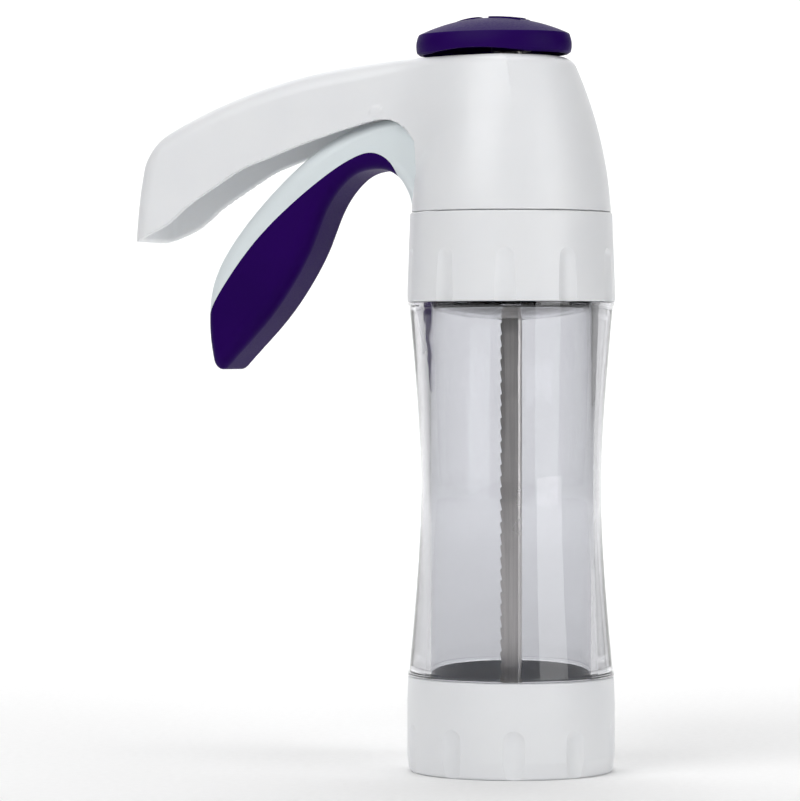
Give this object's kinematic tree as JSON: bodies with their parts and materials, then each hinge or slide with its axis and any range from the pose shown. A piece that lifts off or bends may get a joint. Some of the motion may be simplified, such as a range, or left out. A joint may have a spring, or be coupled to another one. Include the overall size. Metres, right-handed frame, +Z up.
{
  "type": "cookie press",
  "caption": "Hand cookie press: clear waisted barrel between two screw collars, fixed handle with a squeeze trigger, and a toothed plunger rod with an oval knob.",
  "frame": {"origin": "centre of the dough outlet, on the plane of the lower collar's bottom face", "axes": "+Z up the barrel's axis to the knob; handle and trigger along -X; Y across the handle"},
  "size_m": [0.1511, 0.0622, 0.2261],
  "materials": {
    "white_shell": "satin moulded",
    "white_inner": "satin moulded",
    "trigger_white": "satin moulded",
    "soft_grip": "soft touch",
    "knob_purple": "fine grain",
    "clear_plastic": "clear polished",
    "steel": "plain",
    "rod_steel": "brushed along its length",
    "acetal": "plain",
    "wiper_rubber": "plain",
    "plunger_plastic": "plain",
    "disc_metal": "stamped"
  },
  "bodies": {
    "head": {"head_casing": "white_shell", "casing_screws": "steel", "chassis": "white_inner", "bore_plug": "clear_plastic", "lever_pin": "steel"},
    "trigger": {"lever_core": "trigger_white", "lever_grip": "soft_grip", "lever_spring": "steel", "drive_pawl_pin": "steel", "pawl_leaf": "steel"},
    "pawl": {"drive_pawl": "steel"},
    "guide": {"rod_guide": "acetal", "guide_clip": "steel", "rod_wiper": "wiper_rubber"},
    "rod_set": {"toothed_rod": "rod_steel", "knob": "knob_purple", "knob_pin": "steel", "plunger": "plunger_plastic", "plunger_pin": "steel"},
    "upper_collar": {"barrel_collar": "white_shell"},
    "barrel": {"barrel": "clear_plastic"},
    "disc": {"cookie_disc": "disc_metal"},
    "lower_ring": {"disc_ring": "white_shell"}
  },
  "joints": [
    {"name": "trigger_squeeze", "type": "hinge", "parent": "head", "child": "trigger", "pos_m": [-0.021, 0, 0.184], "axis": [0, 1, 0], "range_deg": [0, 20], "stiffness_Nm_per_rad": 0.15, "springref_deg": -28.65},
    {"name": "pawl_swing", "type": "hinge", "parent": "trigger", "child": "pawl", "pos_m": [-0.0104, 0, 0.1856], "axis": [0, 1, 0], "range_deg": [-20, 0]},
    {"name": "knob_turn", "type": "hinge", "parent": "head", "child": "guide", "pos_m": [0, 0, 0.158], "axis": [0, 0, 1], "range_deg": [0, 90]},
    {"name": "plunger_slide", "type": "slide", "parent": "guide", "child": "rod_set", "axis": [0, 0, 1], "range_m": [0, 0.12]},
    {"name": "upper_collar_turn", "type": "hinge", "parent": "head", "child": "upper_collar", "pos_m": [0, 0, 0.158], "axis": [0, 0, 1], "range_deg": [0, 541]},
    {"name": "barrel_drop", "type": "slide", "parent": "head", "child": "barrel", "axis": [0, 0, -1], "range_m": [0, 0.006]},
    {"name": "disc_drop", "type": "slide", "parent": "barrel", "child": "disc", "axis": [0, 0, -1], "range_m": [0, 0.006]},
    {"name": "lower_ring_turn", "type": "hinge", "parent": "disc", "child": "lower_ring", "pos_m": [0, 0, 0.014], "axis": [0, 0, -1], "range_deg": [0, 541]}
  ],
  "couplings": [
    {"joint": "pawl_swing", "follows": "trigger_squeeze", "ratio": -1},
    {"joint": "upper_collar_turn", "follows": "barrel_drop", "rad_per_m": 1570.8},
    {"joint": "lower_ring_turn", "follows": "disc_drop", "rad_per_m": 1570.8}
  ]
}
